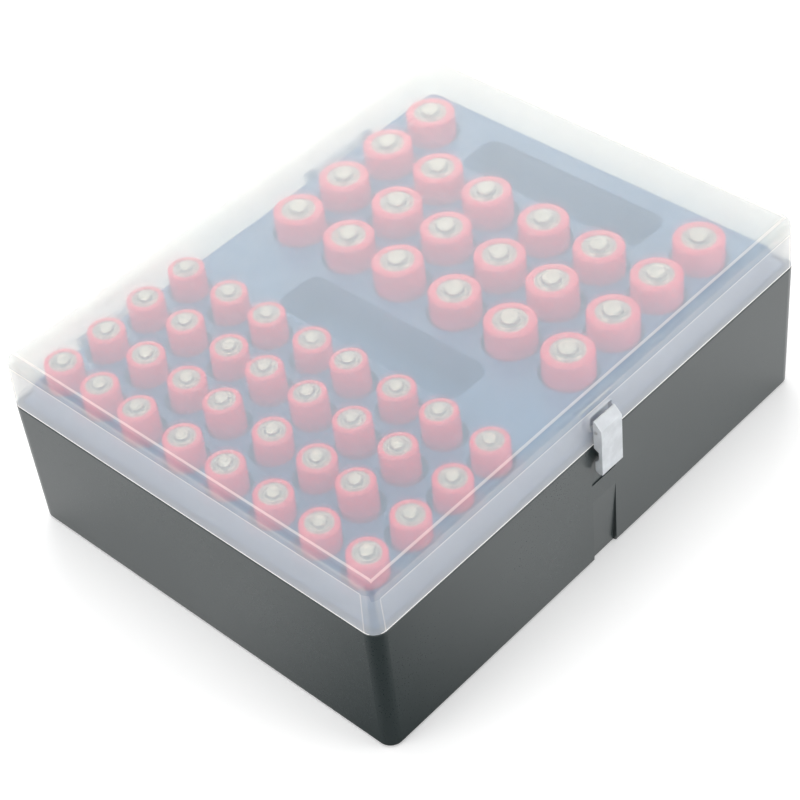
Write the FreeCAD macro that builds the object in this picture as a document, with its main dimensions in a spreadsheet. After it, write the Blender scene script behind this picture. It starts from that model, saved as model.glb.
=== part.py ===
"""A hinged storage case for AA and AAA cells: an open base, a drop-in tray of wells,
a translucent lid on two hinge pins and a pivoting latch tab at the middle of the front.

Frame: millimetres, +X along the front from the AAA end to the AA end, +Y from the latch
side to the hinge side, +Z up. The origin is the centre of the case's underside.
"""

import FreeCAD, Part
import math
import os
import Sketcher

Vector = FreeCAD.Vector

# Driving dimensions in millimetres, or plain counts: alias, value, meaning.
SIZES = (
    ("case_length", 169.0, "base and lid along X, at the rim"),
    ("case_width", 133.0, "base and lid along Y, at the rim"),
    ("rim_height", 43.0, "base from its underside to its rim"),
    ("case_draft", 0.3, "how far the base's walls lean in towards the foot"),
    ("case_wall", 2.0, "side wall of the base"),
    ("case_floor", 2.0, "floor of the base"),
    ("case_corner", 4.0, "outer corner radius at the rim, seen from above"),
    ("rim_round", 0.7, "rounding of the rim's outer edge"),
    ("foot_round", 0.9, "rounding of the outer edge of the foot"),
    ("foot_band", 6.0, "width of the band that the case stands on"),
    ("foot_recess", 0.8, "depth of the panel inside that band"),
    ("rib_width", 1.6, "tray rib on the inside of the base"),
    ("rib_reach", 1.7, "how far a tray rib stands in from the wall"),
    ("rib_sink", 0.9, "how deep a rib or lug is rooted in its wall"),
    ("rib_side", 44.0, "spacing of the tray ribs along the long walls"),
    ("rib_end", 36.0, "spacing of the tray ribs along the short walls"),
    ("lid_gap", 0.15, "gap between the base's rim and the lid's edge"),
    ("lid_draft", 0.7, "how far the lid's walls lean in towards the top"),
    ("lid_wall", 1.6, "walls and top of the lid"),
    ("lid_round", 3.0, "rounding of the lid's top edge"),
    ("tray_gap", 0.3, "clearance between the tray's brim and the base"),
    ("brim_sink", 0.3, "how far the brim lies below the rim"),
    ("brim_thick", 1.6, "thickness of the tray's brim"),
    ("tray_lift", 2.35, "space between the case's floor and the AA wells"),
    ("deck_inset", 4.3, "from the case's side to the side of the raised deck"),
    ("deck_thick", 1.8, "thickness of the deck"),
    ("deck_corner", 3.0, "corner radius of the raised deck, seen from above"),
    ("deck_round", 1.2, "rounding of the deck's top edge"),
    ("tray_wall", 1.4, "side wall of the raised deck"),
    ("well_wall", 0.75, "wall of a cell well and of a pocket"),
    ("well_floor", 1.2, "floor of a cell well and of a pocket"),
    ("cell_play", 1.05, "radial play of a cell in its well"),
    ("cell_stand", 8.35, "how far the upright cells stand out of the deck"),
    ("cell_spare", 1.1, "space between the upright cells and the lid"),
    ("lean_spare", 0.15, "what is left of the play beside a leaning cell"),
    ("aa_diameter", 14.3, "AA cell over its jacket"),
    ("aa_length", 50.5, "AA cell with its contact button"),
    ("aa_button", 5.3, "diameter of the AA contact button"),
    ("aa_button_rise", 1.1, "height of the AA button above the jacket"),
    ("aa_face", 9.5, "diameter of the bare metal inside the AA jacket's ring"),
    ("aa_end", 20.0, "last AA column from the AA end of the case"),
    ("aa_side", 18.25, "outermost AA cells from the case's front and back"),
    ("aa_apart", 3.2, "how much further apart AA columns stand than AAA columns"),
    ("aaa_diameter", 10.3, "AAA cell over its jacket"),
    ("aaa_length", 44.5, "AAA cell with its contact button"),
    ("aaa_button", 3.8, "diameter of the AAA contact button"),
    ("aaa_button_rise", 0.9, "height of the AAA button above the jacket"),
    ("aaa_face", 7.3, "diameter of the bare metal inside the AAA jacket's ring"),
    ("aaa_end", 11.3, "first AAA column from the AAA end of the case"),
    ("aaa_front", 12.8, "foremost AAA cells from the case's front"),
    ("aaa_back", 11.3, "hindmost AAA cells from the case's back"),
    ("jacket_thick", 0.15, "shrink sleeve round a cell"),
    ("jacket_round", 0.5, "rounding of the sleeve's top edge"),
    ("can_wall", 0.3, "steel can of a cell"),
    ("can_step", 0.25, "height of the step round a cell's contact face"),
    ("cap_thick", 0.4, "negative end plate of a cell"),
    ("cap_stand", 0.3, "how far the end plate stands below the can"),
    ("seal_thick", 1.2, "nylon seal that closes a can"),
    ("seal_lip", 1.3, "width of the seal's ring round the end plate"),
    ("pocket_gap", 1.7, "between an open pocket and the wells beside it"),
    ("pocket_reach", 6.55, "between an open pocket and the wells beyond its ends"),
    ("pocket_corner", 4.0, "corner radius of the open pockets"),
    ("strip_depth", 12.0, "depth of the open pocket between the blocks of wells"),
    ("bay_depth", 15.0, "depth of the open pocket in the last AA column"),
    ("bay_end", 11.7, "that pocket from the AA end of the case"),
    ("hinge_offset", 44.5, "hinge centres from the middle of the case"),
    ("hinge_out", 1.65, "hinge axis behind the case's back"),
    ("hinge_up", 0.7, "hinge axis above the rim"),
    ("hinge_span", 27.0, "a hinge over its two ears"),
    ("ear_thick", 3.0, "one ear along X"),
    ("ear_radius", 1.35, "round end of an ear or of a lid knuckle"),
    ("ear_root", 6.0, "how far an ear runs down the back wall"),
    ("hinge_pin_radius", 0.6, "radius of a hinge pin"),
    ("turn_gap", 0.05, "radial clearance of a turning fit"),
    ("side_gap", 0.3, "side clearance between parts that turn"),
    ("latch_width", 8.2, "latch tab along X"),
    ("latch_out", 3.0, "latch tab's outer face in front of the rim"),
    ("latch_gap", 0.35, "latch tab's inner face in front of the rim"),
    ("latch_top", 9.2, "top of the latch tab above the rim"),
    ("latch_shoulder", 6.5, "where the latch tab's front face begins to slope"),
    ("latch_tip", 9.0, "lower end of the latch tab below the rim"),
    ("latch_round", 1.1, "rounding of the latch tab's inner tip"),
    ("latch_edge", 0.3, "rounding of the latch tab's sharp outer edges"),
    ("notch_top", 0.6, "top of the latch tab's notch below the rim"),
    ("notch_floor", 1.9, "floor of the notch in front of the rim"),
    ("notch_height", 2.7, "flat part of the notch's floor"),
    ("nose_gap", 0.7, "hook nose in front of the rim"),
    ("nose_slope", 1.2, "height of the nose's sloping upper face"),
    ("bead_out", 1.5, "catch bead in front of the rim"),
    ("bead_top", 1.5, "top of the catch bead below the rim"),
    ("bead_height", 2.6, "catch bead along Z"),
    ("bead_width", 6.2, "catch bead along X"),
    ("pivot_out", 1.15, "latch pivot in front of the rim"),
    ("pivot_up", 5.2, "latch pivot above the rim"),
    ("pivot_pin_radius", 0.5, "radius of the latch pin"),
    ("pivot_boss", 0.95, "radius of the lid's latch boss"),
    ("boss_width", 3.6, "the lid's latch boss along X"),
    ("boss_gap", 0.3, "clearance of the boss in the latch tab's slot"),
    ("swing_spare", 0.35, "extra height of the slot for the tab's swing"),
    ("relief_depth", 1.6, "relief in the lid behind the tab's top"),
    ("relief_back", 1.0, "extra wall inside the lid behind that relief"),
    ("relief_side", 0.25, "relief beside the tab"),
    ("relief_low", 4.8, "lower end of the relief above the rim"),
    ("relief_high", 9.5, "upper end of the relief above the rim"),
    ("channel_width", 9.4, "finger channel in the front wall along X"),
    ("channel_depth", 1.2, "channel's depth at the foot"),
    ("channel_fade", 18.0, "how far below the rim the channel fades out"),
    ("grip_depth", 0.4, "finger relief under the latch"),
    ("grip_top", 4.3, "its upper end below the rim"),
    ("grip_height", 10.0, "its height"),
)

# How each cell stands in its well, from the latch side to the hinge side: upright (.),
# leaning to the latch side (f) or leaning to the hinge side (t). A space is no cell.
AA_COLUMNS = ("...t..", ".t..f.", "...t..", ".    .")
AAA_COLUMNS = ("fff..t.f", "ftfftfff", "fttttf..", ".t.tf.f.")
STRIP_STEPS = 2  # the open strip takes the place of one more AA column


class Size:
    """A length that knows its spreadsheet expression and its present number."""

    def __init__(self, text, number):
        self.text = text
        self.number = number

    def joined(self, sign, other, number):
        other_text = other.text if isinstance(other, Size) else repr(other)
        return Size("(%s %s %s)" % (self.text, sign, other_text), number)

    def __add__(self, other):
        return self.joined("+", other, self.number + number_of(other))

    def __sub__(self, other):
        return self.joined("-", other, self.number - number_of(other))

    def __mul__(self, other):
        return self.joined("*", other, self.number * number_of(other))

    def __truediv__(self, other):
        return self.joined("/", other, self.number / number_of(other))

    def __neg__(self):
        return Size("(-%s)" % self.text, -self.number)


def number_of(length):
    return length.number if isinstance(length, Size) else length


def smaller(first, second):
    """The smaller of two lengths, for a round that its wall limits."""
    text = "min(%s; %s)" % (first.text, second.text)
    return Size(text, min(first.number, second.number))


def slope_angle(run, rise):
    """The angle, in degrees, of a wall that leans by run over the height rise."""
    degrees = math.degrees(math.atan2(run.number, rise.number))
    return Size("atan(%s / %s)" % (run.text, rise.text), degrees)


ZERO = Size("0", 0.0)

doc = FreeCAD.newDocument("battery_case")


def make_sheet():
    """Writes the driving dimensions and gives them back by name."""
    sheet = doc.addObject("Spreadsheet::Sheet", "dims")
    sizes = {}
    for row, (alias, number, meaning) in enumerate(SIZES, start=1):
        sheet.set("A%d" % row, alias)
        sheet.set("B%d" % row, repr(number))
        sheet.set("C%d" % row, meaning)
        sheet.setAlias("B%d" % row, alias)
        sizes[alias] = Size("dims.%s" % alias, number)
    doc.recompute()
    return sizes


D = make_sheet()


def bind(item, path, length):
    """Ties one property of an object to the sheet."""
    item.setExpression(path, length.text if isinstance(length, Size) else repr(length))


# ---- levels and places that more than one piece uses -------------------------------------

HALF_LENGTH = D["case_length"] / 2
HALF_WIDTH = D["case_width"] / 2
FLOOR = D["foot_recess"] + D["case_floor"]
RIM = D["rim_height"]
AA_FOOT = FLOOR + D["tray_lift"] + D["well_floor"]
CELL_TOP = AA_FOOT + D["aa_length"]
AAA_FOOT = CELL_TOP - D["aaa_length"]
DECK = CELL_TOP - D["cell_stand"]
DECK_UNDER = DECK - D["deck_thick"]
BRIM_TOP = RIM - D["brim_sink"]
BRIM_FOOT = BRIM_TOP - D["brim_thick"]
LID_BASE = RIM + D["lid_gap"]
LID_CEILING = CELL_TOP + D["cell_spare"]
LID_TOP = LID_CEILING + D["lid_wall"]
LID_HEIGHT = LID_TOP - LID_BASE
HINGE_Y = HALF_WIDTH + D["hinge_out"]
HINGE_Z = RIM + D["hinge_up"]
FRONT_Y = -HALF_WIDTH
PIVOT_Y = FRONT_Y - D["pivot_out"]
PIVOT_Z = RIM + D["pivot_up"]


class Block:
    """The wells of one kind of cell, in columns along Y."""

    def __init__(self, prefix, columns, foot, first, pitch):
        self.prefix = prefix
        self.columns = columns
        self.foot = foot
        self.first_x, self.first_y = first
        self.pitch_x, self.pitch_y = pitch
        self.inside = D[prefix + "_diameter"] / 2 + D["cell_play"]
        self.outside = self.inside + D["well_wall"]

    def x(self, column):
        return self.first_x + self.pitch_x * column

    def y(self, slot):
        return self.first_y + self.pitch_y * slot

    def wells(self, column):
        """The mark and the centre of every well in one column."""
        word = self.columns[column]
        return [
            (mark, self.x(column), self.y(slot))
            for slot, mark in enumerate(word)
            if mark != " "
        ]


def spread(length, margins, copies):
    """The spacing that leaves the margins free at the two ends of the length."""
    return (length - margins) / (copies - 1)


def blocks():
    """Both blocks of wells, spread over the case from its four sides."""
    aaa_steps = len(AAA_COLUMNS) - 1
    aa_steps = len(AA_COLUMNS) - 1
    steps = aaa_steps + STRIP_STEPS + aa_steps
    margins = D["aaa_end"] + D["aa_end"] + D["aa_apart"] * (STRIP_STEPS + aa_steps)
    aaa_pitch = (D["case_length"] - margins) / steps
    aa_pitch = aaa_pitch + D["aa_apart"]
    aaa_first = (D["aaa_end"] - HALF_LENGTH, D["aaa_front"] - HALF_WIDTH)
    aa_first = (HALF_LENGTH - D["aa_end"] - aa_pitch * aa_steps, D["aa_side"] - HALF_WIDTH)
    aaa_rows = spread(D["case_width"], D["aaa_front"] + D["aaa_back"], len(AAA_COLUMNS[0]))
    aa_rows = spread(D["case_width"], D["aa_side"] * 2, len(AA_COLUMNS[0]))
    return (
        Block("aa", AA_COLUMNS, AA_FOOT, aa_first, (aa_pitch, aa_rows)),
        Block("aaa", AAA_COLUMNS, AAA_FOOT, aaa_first, (aaa_pitch, aaa_rows)),
    )


AA, AAA = blocks()


# ---- drawing and feature helpers ---------------------------------------------------------


def new_body(name):
    body = doc.addObject("PartDesign::Body", name)
    body.Label = name
    return body


class Outline:
    """A sketch on one of a body's origin planes, every point driven by the sheet."""

    def __init__(self, body, name, plane="XY_Plane", shift=(ZERO, ZERO, ZERO)):
        self.sketch = body.newObject("Sketcher::SketchObject", name)
        support = [part for part in body.Origin.OriginFeatures if part.Role == plane]
        self.sketch.AttachmentSupport = [(support[0], "")]
        self.sketch.MapMode = "FlatFace"
        for axis, length in zip("xyz", shift):
            bind(self.sketch, "AttachmentOffset.Base.%s" % axis, length)

    def hold(self, kind, length, *where):
        """Adds one dimension and ties it to the sheet."""
        index = self.sketch.addConstraint(Sketcher.Constraint(kind, *where, length.number))
        bind(self.sketch, "Constraints[%d]" % index, length)

    def hold_point(self, geometry, point, x, y):
        self.hold("DistanceX", x, -1, 1, geometry, point)
        self.hold("DistanceY", y, -1, 1, geometry, point)

    def circle(self, x, y, radius):
        centre = Vector(x.number, y.number, 0)
        shape = Part.Circle(centre, Vector(0, 0, 1), radius.number)
        index = self.sketch.addGeometry(shape, False)
        self.hold_point(index, 3, x, y)
        self.hold("Radius", radius, index)

    def polygon(self, points):
        """A closed run of straight lines through the points."""
        corners = [Vector(x.number, y.number, 0) for x, y in points]
        first = self.sketch.GeometryCount
        for start, end in zip(corners, corners[1:] + corners[:1]):
            self.sketch.addGeometry(Part.LineSegment(start, end), False)
        for index, (x, y) in enumerate(points):
            following = (index + 1) % len(points)
            pair = (first + index, 2, first + following, 1)
            self.sketch.addConstraint(Sketcher.Constraint("Coincident", *pair))
            self.hold_point(first + index, 1, x, y)

    def box(self, left, right, low, high):
        self.polygon(((left, low), (right, low), (right, high), (left, high)))

    def rounded_box(self, left, right, low, high, radius):
        """A rectangle with four tangent corner arcs."""
        first = self.sketch.GeometryCount
        x0, x1, y0, y1 = (side.number for side in (left, right, low, high))
        r = radius.number
        sides = (
            ((x0 + r, y0), (x1 - r, y0)),
            ((x1, y0 + r), (x1, y1 - r)),
            ((x1 - r, y1), (x0 + r, y1)),
            ((x0, y1 - r), (x0, y0 + r)),
        )
        middles = ((x1 - r, y0 + r), (x1 - r, y1 - r), (x0 + r, y1 - r), (x0 + r, y0 + r))
        for quarter, ((start, end), middle) in enumerate(zip(sides, middles)):
            line = Part.LineSegment(Vector(*start, 0), Vector(*end, 0))
            self.sketch.addGeometry(line, False)
            circle = Part.Circle(Vector(*middle, 0), Vector(0, 0, 1), r)
            begin = (quarter - 1) * math.pi / 2
            arc = Part.ArcOfCircle(circle, begin, begin + math.pi / 2)
            self.sketch.addGeometry(arc, False)
        count = 2 * len(sides)
        for index in range(count):
            pair = (first + index, 2, first + (index + 1) % count, 1)
            self.sketch.addConstraint(Sketcher.Constraint("Tangent", *pair))
        bottom, right_side, top, left_side = (first + 2 * n for n in range(len(sides)))
        for line in (bottom, top):
            self.sketch.addConstraint(Sketcher.Constraint("Horizontal", line))
        for line in (right_side, left_side):
            self.sketch.addConstraint(Sketcher.Constraint("Vertical", line))
        self.hold("DistanceX", left, -1, 1, left_side, 1)
        self.hold("DistanceX", right, -1, 1, right_side, 1)
        self.hold("DistanceY", low, -1, 1, bottom, 1)
        self.hold("DistanceY", high, -1, 1, top, 1)
        self.hold("Radius", radius, first + 1)
        for quarter in range(1, len(sides)):
            pair = (first + 1, first + 1 + 2 * quarter)
            self.sketch.addConstraint(Sketcher.Constraint("Equal", *pair))

    def centred_box(self, length, width, radius):
        self.rounded_box(-length / 2, length / 2, -width / 2, width / 2, radius)


def swept(body, kind, name, outline, length, back, taper):
    feature = body.newObject(kind, name)
    feature.Profile = outline.sketch
    feature.Reversed = back
    bind(feature, "Length", length)
    if taper is not None:
        bind(feature, "TaperAngle", taper)
    return feature


def pad(body, name, outline, length, back=False, taper=None):
    return swept(body, "PartDesign::Pad", name, outline, length, back, taper)


def pocket(body, name, outline, length, back=False, taper=None):
    """Cuts along the sketch's own normal, or the other way when back is set."""
    return swept(body, "PartDesign::Pocket", name, outline, length, not back, taper)


def cut_across(body, name, outline, length):
    """A cut of the given length, half of it on each side of the sketch."""
    feature = swept(body, "PartDesign::Pocket", name, outline, length, False, None)
    feature.Midplane = True
    return feature


def round_edges(body, name, base, radius, wanted):
    """Rounds the edges of base for which wanted(edge) is true."""
    doc.recompute()
    names = [
        "Edge%d" % number
        for number, edge in enumerate(base.Shape.Edges, start=1)
        if wanted(edge)
    ]
    fillet = body.newObject("PartDesign::Fillet", name)
    fillet.Base = (base, names)
    bind(fillet, "Radius", radius)
    body.Tip = fillet
    return fillet


NEAR = 0.01  # how close two places are before they count as one


def lies_flat_at(edge, level):
    box = edge.BoundBox
    return abs(box.ZMin - level) < NEAR and abs(box.ZMax - level) < NEAR


# ---- base --------------------------------------------------------------------------------


def base_case():
    """The open base: walls, floor, tray ribs, foot band, channel, bead and hinge ears."""
    body = new_body("base_case")
    foot = Outline(body, "foot_outline")
    draft = D["case_draft"]
    foot_length = D["case_length"] - draft * 2
    foot_width = D["case_width"] - draft * 2
    foot.centred_box(foot_length, foot_width, D["case_corner"] - draft)
    lean = slope_angle(draft, RIM)
    block = pad(body, "block", foot, RIM, taper=lean)
    rim_edge = round_edges(
        body, "rim_edge", block, D["rim_round"], lambda e: lies_flat_at(e, RIM.number)
    )
    foot_edge = round_edges(
        body, "foot_edge", rim_edge, D["foot_round"], lambda e: lies_flat_at(e, 0.0)
    )
    body.Tip = foot_edge

    mouth = Outline(body, "mouth_outline", shift=(ZERO, ZERO, RIM))
    wall = D["case_wall"]
    mouth.centred_box(
        D["case_length"] - wall * 2, D["case_width"] - wall * 2, D["case_corner"] - wall
    )
    pocket(body, "mouth", mouth, RIM - FLOOR, back=True, taper=-lean)

    panel = Outline(body, "foot_panel_outline")
    band = D["foot_band"]
    panel.centred_box(foot_length - band * 2, foot_width - band * 2, D["case_corner"])
    pocket(body, "foot_panel", panel, D["foot_recess"])

    tray_ribs(body)
    latch_side(body)
    hinge_ears(body)
    return body


def tray_ribs(body):
    """Upright ribs inside the walls, whose tops carry the tray's brim."""
    low = FLOOR - D["rib_sink"] / 2
    outline = Outline(body, "rib_outline", shift=(ZERO, ZERO, low))
    half_rib = D["rib_width"] / 2
    inner_x = HALF_LENGTH - D["case_wall"] - D["rib_reach"]
    inner_y = HALF_WIDTH - D["case_wall"] - D["rib_reach"]
    outer_x = HALF_LENGTH - D["case_wall"] + D["rib_sink"]
    outer_y = HALF_WIDTH - D["case_wall"] + D["rib_sink"]
    for step in (-1.5, -0.5, 0.5, 1.5):
        x = D["rib_side"] * step
        outline.box(x - half_rib, x + half_rib, -outer_y, -inner_y)
        outline.box(x - half_rib, x + half_rib, inner_y, outer_y)
    for step in (-1.0, 0.0, 1.0):
        y = D["rib_end"] * step
        outline.box(-outer_x, -inner_x, y - half_rib, y + half_rib)
        outline.box(inner_x, outer_x, y - half_rib, y + half_rib)
    pad(body, "tray_ribs", outline, BRIM_FOOT - low)


def latch_side(body):
    """The channel that fades in towards the foot, the finger relief and the catch bead."""
    half_channel = D["channel_width"] / 2
    wedge = Outline(body, "channel_outline", plane="YZ_Plane", shift=(ZERO, ZERO, -half_channel))
    outside = FRONT_Y - D["case_corner"]
    foot_face = FRONT_Y + D["case_draft"]
    fade_level = RIM - D["channel_fade"]
    wedge.polygon(
        (
            (outside, -D["foot_round"]),
            (foot_face + D["channel_depth"], -D["foot_round"]),
            (FRONT_Y, fade_level),
            (outside, fade_level),
        )
    )
    pocket(body, "channel", wedge, D["channel_width"])

    relief = Outline(body, "grip_outline", plane="XZ_Plane", shift=(ZERO, ZERO, -outside))
    grip_high = RIM - D["grip_top"]
    relief.box(-half_channel, half_channel, grip_high - D["grip_height"], grip_high)
    pocket(body, "grip", relief, D["case_corner"] + D["grip_depth"], back=True)

    bead = Outline(
        body, "bead_outline", plane="YZ_Plane", shift=(ZERO, ZERO, -D["bead_width"] / 2)
    )
    bead_high = RIM - D["bead_top"]
    bead_low = bead_high - D["bead_height"]
    root = FRONT_Y + D["rib_sink"]
    tip = FRONT_Y - D["bead_out"]
    bead.polygon(
        (
            (root, bead_low),
            (tip, bead_low),
            (tip, bead_high - D["bead_height"] / 2),
            (FRONT_Y, bead_high),
            (root, bead_high),
        )
    )
    pad(body, "catch_bead", bead, D["bead_width"])


def hinge_ears(body):
    """Two ears at each hinge, bored for the pin."""
    low = RIM - D["ear_root"]
    near_back = HINGE_Y - D["ear_radius"]
    far_back = HINGE_Y + D["ear_radius"]
    root = HALF_WIDTH - D["rib_sink"]
    for side, centre in (("left", -D["hinge_offset"]), ("right", D["hinge_offset"])):
        starts = (
            centre - D["hinge_span"] / 2,
            centre + D["hinge_span"] / 2 - D["ear_thick"],
        )
        for place, start in zip(("outer", "inner"), starts):
            name = "%s_%s_ear" % (side, place)
            web = Outline(body, name + "_web_outline", plane="YZ_Plane", shift=(ZERO, ZERO, start))
            web.polygon(
                (
                    (root, low),
                    (far_back, HINGE_Z - D["ear_radius"]),
                    (far_back, HINGE_Z),
                    (near_back, HINGE_Z),
                    (near_back, RIM - D["rim_round"]),
                    (root, RIM - D["rim_round"]),
                )
            )
            pad(body, name + "_web", web, D["ear_thick"])
            head = Outline(
                body, name + "_head_outline", plane="YZ_Plane", shift=(ZERO, ZERO, start)
            )
            head.circle(HINGE_Y, HINGE_Z, D["ear_radius"])
            pad(body, name + "_head", head, D["ear_thick"])
    bore = Outline(body, "ear_bore_outline", plane="YZ_Plane")
    bore.circle(HINGE_Y, HINGE_Z, D["hinge_pin_radius"])
    cut_across(body, "ear_bores", bore, D["case_length"])


# ---- tray --------------------------------------------------------------------------------


def cell_tray():
    """The drop-in tray: brim, raised deck, cell wells and two open pockets."""
    body = new_body("cell_tray")
    rim_inset = D["case_wall"] + D["tray_gap"]
    brim = Outline(body, "brim_outline", shift=(ZERO, ZERO, BRIM_FOOT))
    brim.centred_box(
        D["case_length"] - rim_inset * 2,
        D["case_width"] - rim_inset * 2,
        D["case_corner"] - D["case_wall"],
    )
    pad(body, "brim", brim, D["brim_thick"])
    deck_length = D["case_length"] - D["deck_inset"] * 2
    deck_width = D["case_width"] - D["deck_inset"] * 2
    rise = Outline(body, "rise_outline", shift=(ZERO, ZERO, BRIM_FOOT))
    rise.centred_box(deck_length, deck_width, D["deck_corner"])
    raised = pad(body, "rise", rise, DECK - BRIM_FOOT)
    deck_round = smaller(D["deck_round"], (DECK - BRIM_TOP) / 2)
    round_edges(body, "deck_edge", raised, deck_round, lambda e: lies_flat_at(e, DECK.number))

    hollow = Outline(body, "hollow_outline", shift=(ZERO, ZERO, BRIM_FOOT))
    wall = D["tray_wall"]
    hollow.centred_box(
        deck_length - wall * 2, deck_width - wall * 2, D["deck_corner"] - wall
    )
    pocket(body, "hollow", hollow, DECK_UNDER - BRIM_FOOT)

    for block in (AA, AAA):
        cell_wells(body, block)
    beside = D["well_wall"] + D["pocket_gap"]
    strip_left = AAA.x(len(AAA_COLUMNS) - 1) + AAA.outside + beside
    open_pocket(body, "strip", strip_left, AA.x(0) - AA.outside - beside, D["strip_depth"])
    bay_left = AA.x(len(AA_COLUMNS) - 2) + AA.outside + beside
    open_pocket(body, "bay", bay_left, HALF_LENGTH - D["bay_end"], D["bay_depth"])
    return body


def cell_wells(body, block):
    """A block of round wells that hang from the deck."""
    low = block.foot - D["well_floor"]
    tubes = Outline(body, block.prefix + "_tube_outline", shift=(ZERO, ZERO, low))
    holes = Outline(body, block.prefix + "_hole_outline", shift=(ZERO, ZERO, block.foot))
    for column in range(len(block.columns)):
        for _, x, y in block.wells(column):
            tubes.circle(x, y, block.outside)
            holes.circle(x, y, block.inside)
    pad(body, block.prefix + "_tubes", tubes, DECK_UNDER - low + D["deck_thick"] / 2)
    pocket(body, block.prefix + "_holes", holes, DECK - block.foot)


def open_pocket(body, name, left, right, depth):
    """A rounded pocket that hangs from the deck and is open at the top."""
    floor = DECK - depth
    wall = D["well_wall"]
    half_length = -AA.y(0) - AA.outside - wall - D["pocket_reach"]
    skin = Outline(body, name + "_skin_outline", shift=(ZERO, ZERO, floor - D["well_floor"]))
    skin.rounded_box(
        left - wall,
        right + wall,
        -half_length - wall,
        half_length + wall,
        D["pocket_corner"] + wall,
    )
    skin_height = DECK_UNDER + D["deck_thick"] / 2 - floor + D["well_floor"]
    pad(body, name + "_skin", skin, skin_height)
    space = Outline(body, name + "_outline", shift=(ZERO, ZERO, floor))
    space.rounded_box(left, right, -half_length, half_length, D["pocket_corner"])
    pocket(body, name, space, depth)


# ---- lid ---------------------------------------------------------------------------------


def lid():
    """The deep lid: a drafted shell, two hinge knuckles and the latch boss."""
    body = new_body("lid")
    lean = -slope_angle(D["lid_draft"], LID_HEIGHT)
    skin = Outline(body, "skin_outline", shift=(ZERO, ZERO, LID_BASE))
    skin.centred_box(D["case_length"], D["case_width"], D["case_corner"])
    block = pad(body, "skin", skin, LID_HEIGHT, taper=lean)
    round_edges(
        body, "top_edge", block, D["lid_round"], lambda e: lies_flat_at(e, LID_TOP.number)
    )
    wall = D["lid_wall"]
    inside = Outline(body, "inside_outline", shift=(ZERO, ZERO, LID_BASE))
    inside.centred_box(
        D["case_length"] - wall * 2, D["case_width"] - wall * 2, D["case_corner"] - wall
    )
    hollow = pocket(body, "inside", inside, LID_HEIGHT - wall, taper=lean)
    round_edges(
        body,
        "ceiling_edge",
        hollow,
        D["lid_round"] - wall,
        lambda e: lies_flat_at(e, LID_CEILING.number),
    )
    lid_knuckles(body)
    latch_boss(body)
    return body


def lid_knuckles(body):
    """A bored barrel between each pair of ears, carried by a web from the back wall."""
    width = D["hinge_span"] - D["ear_thick"] * 2 - D["side_gap"] * 2
    near_back = HALF_WIDTH - D["rib_sink"]
    for side, centre in (("left", -D["hinge_offset"]), ("right", D["hinge_offset"])):
        start = centre - width / 2
        name = "%s_knuckle" % side
        web = Outline(body, name + "_web_outline", plane="YZ_Plane", shift=(ZERO, ZERO, start))
        web.box(near_back, HINGE_Y, LID_BASE, HINGE_Z + D["ear_radius"])
        pad(body, name + "_web", web, width)
        barrel = Outline(body, name + "_outline", plane="YZ_Plane", shift=(ZERO, ZERO, start))
        barrel.circle(HINGE_Y, HINGE_Z, D["ear_radius"])
        pad(body, name, barrel, width)
    bore = Outline(body, "knuckle_bore_outline", plane="YZ_Plane")
    bore.circle(HINGE_Y, HINGE_Z, D["hinge_pin_radius"] + D["turn_gap"])
    cut_across(body, "knuckle_bores", bore, D["case_length"])


def latch_boss(body):
    """The relief behind the latch tab's top and the bored boss that carries its pin."""
    half_relief = D["latch_width"] / 2 + D["relief_side"]
    wall = D["lid_wall"]
    low = RIM + D["relief_low"]
    high = RIM + D["relief_high"]
    root = FRONT_Y + wall / 2
    inner = FRONT_Y + wall + D["relief_back"]
    backing = Outline(
        body, "backing_outline", plane="YZ_Plane", shift=(ZERO, ZERO, -half_relief - wall)
    )
    backing.polygon(((root, low - wall), (inner, low), (inner, high + wall), (root, high + wall)))
    pad(body, "backing", backing, half_relief * 2 + wall * 2)

    outside = FRONT_Y - D["latch_out"]
    relief = Outline(body, "relief_outline", plane="XZ_Plane", shift=(ZERO, ZERO, -outside))
    relief.box(-half_relief, half_relief, low, high)
    pocket(body, "relief", relief, D["latch_out"] + D["relief_depth"], back=True)

    start = -D["boss_width"] / 2
    web = Outline(body, "boss_web_outline", plane="YZ_Plane", shift=(ZERO, ZERO, start))
    half_web = D["pivot_boss"] - D["boss_gap"]
    floor = FRONT_Y + D["relief_depth"]
    web.box(PIVOT_Y, floor + D["relief_back"] / 2, PIVOT_Z - half_web, PIVOT_Z + half_web)
    pad(body, "boss_web", web, D["boss_width"])
    boss = Outline(body, "boss_outline", plane="YZ_Plane", shift=(ZERO, ZERO, start))
    boss.circle(PIVOT_Y, PIVOT_Z, D["pivot_boss"])
    pad(body, "boss", boss, D["boss_width"])
    bore = Outline(body, "boss_bore_outline", plane="YZ_Plane")
    bore.circle(PIVOT_Y, PIVOT_Z, D["pivot_pin_radius"])
    cut_across(body, "boss_bore", bore, D["latch_width"])


# ---- latch and pins ----------------------------------------------------------------------


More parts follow.
